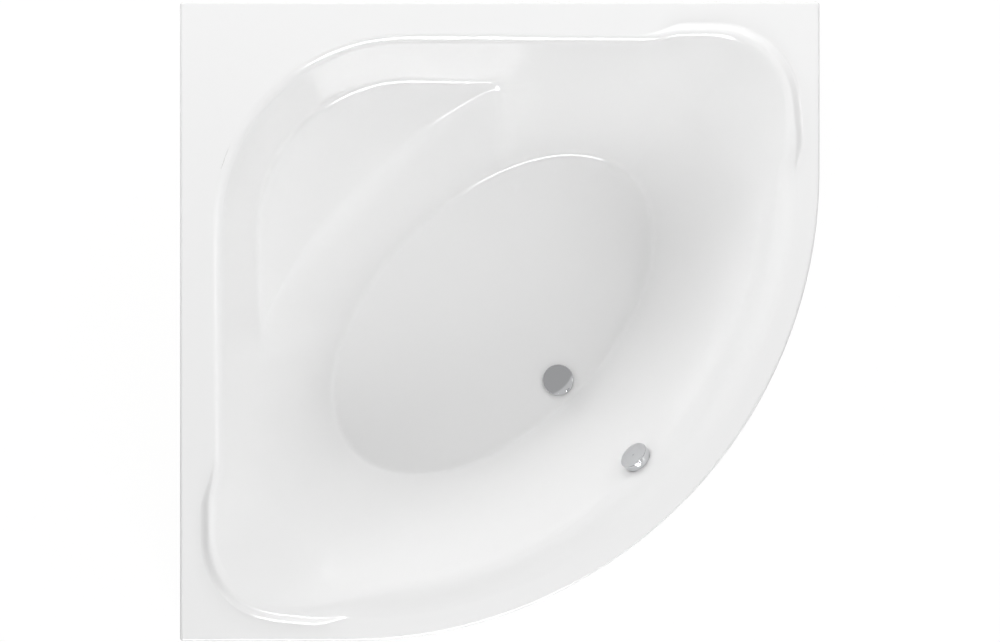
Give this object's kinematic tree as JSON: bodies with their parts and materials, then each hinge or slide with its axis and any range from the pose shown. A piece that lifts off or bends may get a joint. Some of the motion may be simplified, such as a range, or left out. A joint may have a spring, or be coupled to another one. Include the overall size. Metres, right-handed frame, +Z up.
{
  "type": "corner bathtub",
  "caption": "White acrylic corner bathtub with a corner seat, raised head-rest lips, a knob-operated pop-up waste, screw feet and a curved apron.",
  "frame": {"origin": "on the floor under the middle of the square that the rim fills", "axes": "+Z up, the wall corner at -X +Y, the curved front towards +X -Y"},
  "size_m": [1.4, 1.4, 0.594],
  "materials": {
    "acrylic": "gloss",
    "laminate": "rough",
    "chipboard": "sanded",
    "softwood": "planed",
    "galvanised": "satin",
    "zinc_steel": "satin",
    "foot_plastic": "matt",
    "chrome": "polished",
    "stainless": "brushed",
    "white_plastic": "satin",
    "grey_plastic": "satin",
    "black_rubber": "matt",
    "cable_sheath": "satin"
  },
  "bodies": {
    "tub": {"base_board": "chipboard", "bath_shell": "acrylic", "bowden_cable": "cable_sheath", "bracket_screws": "zinc_steel", "drain_body": "grey_plastic", "drain_flange": "stainless", "drain_gasket_lower": "black_rubber", "drain_gasket_upper": "black_rubber", "foot_nuts": "zinc_steel", "front_panel": "acrylic", "glassfibre_backing": "laminate", "leg_rail_left": "galvanised", "leg_rail_right": "galvanised", "lever_pin": "stainless", "outlet_pipe": "white_plastic", "overflow_body": "grey_plastic", "overflow_gasket": "black_rubber", "overflow_pipe": "white_plastic", "overflow_pipe_nuts": "white_plastic", "overflow_ring": "chrome", "panel_arms": "galvanised", "panel_blocks": "softwood", "panel_clips": "stainless", "panel_screws": "zinc_steel", "rail_screws": "zinc_steel", "rim_batten_back": "softwood", "rim_batten_left": "softwood", "seat_board": "chipboard", "seat_leg": "galvanised", "seat_leg_screws": "zinc_steel", "trap_bend": "white_plastic", "trap_inlet_nut": "white_plastic", "trap_outlet_nut": "white_plastic", "wall_brackets_back": "galvanised", "wall_brackets_left": "galvanised"},
    "knob": {"overflow_knob": "chrome", "knob_spindle": "stainless"},
    "plug": {"plug_cap": "chrome", "plug_seal": "black_rubber", "plug_stem": "stainless"},
    "lever": {"lift_lever": "stainless"},
    "foot_back_left": {"foot_stud_back_left": "zinc_steel", "foot_pad_back_left": "foot_plastic"},
    "foot_back_right": {"foot_stud_back_right": "zinc_steel", "foot_pad_back_right": "foot_plastic"},
    "foot_front_left": {"foot_stud_front_left": "zinc_steel", "foot_pad_front_left": "foot_plastic"},
    "foot_front_right": {"foot_stud_front_right": "zinc_steel", "foot_pad_front_right": "foot_plastic"},
    "foot_seat": {"foot_stud_seat": "zinc_steel", "foot_pad_seat": "foot_plastic"}
  },
  "joints": [
    {"name": "knob_turn", "type": "hinge", "parent": "tub", "child": "knob", "pos_m": [0.30345, -0.30345, 0.52002], "axis": [-0.5808, 0.5808, 0.5703], "range_deg": [0, 90]},
    {"name": "plug_lift", "type": "slide", "parent": "tub", "child": "plug", "axis": [0, 0, 1], "range_m": [0, 0.0105]},
    {"name": "lever_tilt", "type": "hinge", "parent": "tub", "child": "lever", "pos_m": [0.11812, -0.11812, 0.10973], "axis": [-0.7071, -0.7071, 0], "range_deg": [0, 40]},
    {"name": "foot_screw_back_left", "type": "slide", "parent": "tub", "child": "foot_back_left", "axis": [0, 0, -1], "range_m": [-0.01, 0.03]},
    {"name": "foot_screw_back_right", "type": "slide", "parent": "tub", "child": "foot_back_right", "axis": [0, 0, -1], "range_m": [-0.01, 0.03]},
    {"name": "foot_screw_front_left", "type": "slide", "parent": "tub", "child": "foot_front_left", "axis": [0, 0, -1], "range_m": [-0.01, 0.03]},
    {"name": "foot_screw_front_right", "type": "slide", "parent": "tub", "child": "foot_front_right", "axis": [0, 0, -1], "range_m": [-0.01, 0.03]},
    {"name": "foot_screw_seat", "type": "slide", "parent": "tub", "child": "foot_seat", "axis": [0, 0, -1], "range_m": [-0.01, 0.03]}
  ],
  "couplings": [
    {"joint": "plug_lift", "follows": "knob_turn", "m_per_rad": 0.0066845},
    {"joint": "lever_tilt", "follows": "knob_turn", "ratio": 0.44444}
  ]
}
